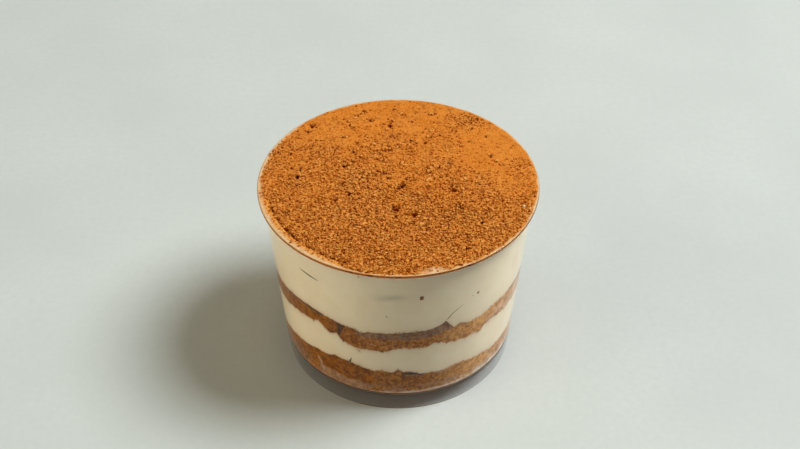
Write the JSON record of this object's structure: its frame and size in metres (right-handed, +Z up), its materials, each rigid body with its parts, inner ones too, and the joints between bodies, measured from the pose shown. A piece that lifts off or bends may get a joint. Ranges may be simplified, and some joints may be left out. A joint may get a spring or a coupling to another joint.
{
  "type": "tiramisu dessert in a clear cup",
  "caption": "Layered tiramisu in a clear tapered plastic cup: coffee-soaked sponge and mascarpone cream in turn, filled to the lip and dusted with cocoa.",
  "frame": {"origin": "centre of the cup's foot, on the surface it stands on", "axes": "+Z up along the cup's axis, -Y towards the front, +X to the right seen from the front"},
  "size_m": [0.09, 0.09, 0.0661],
  "materials": {
    "clear_plastic": "clear, smooth and glossy injection-moulded plastic",
    "soaked_sponge": "open, moist brown crumb soaked in coffee",
    "mascarpone_cream": "smooth pale cream pressed against the clear wall",
    "cocoa": "dry, fine orange-brown powder with small clumps and pits"
  },
  "bodies": {
    "root": {"cup": "clear_plastic", "lower_sponge": "soaked_sponge", "lower_cream": "mascarpone_cream", "upper_sponge": "soaked_sponge", "upper_cream": "mascarpone_cream", "cocoa_dusting": "cocoa"}
  },
  "joints": []
}
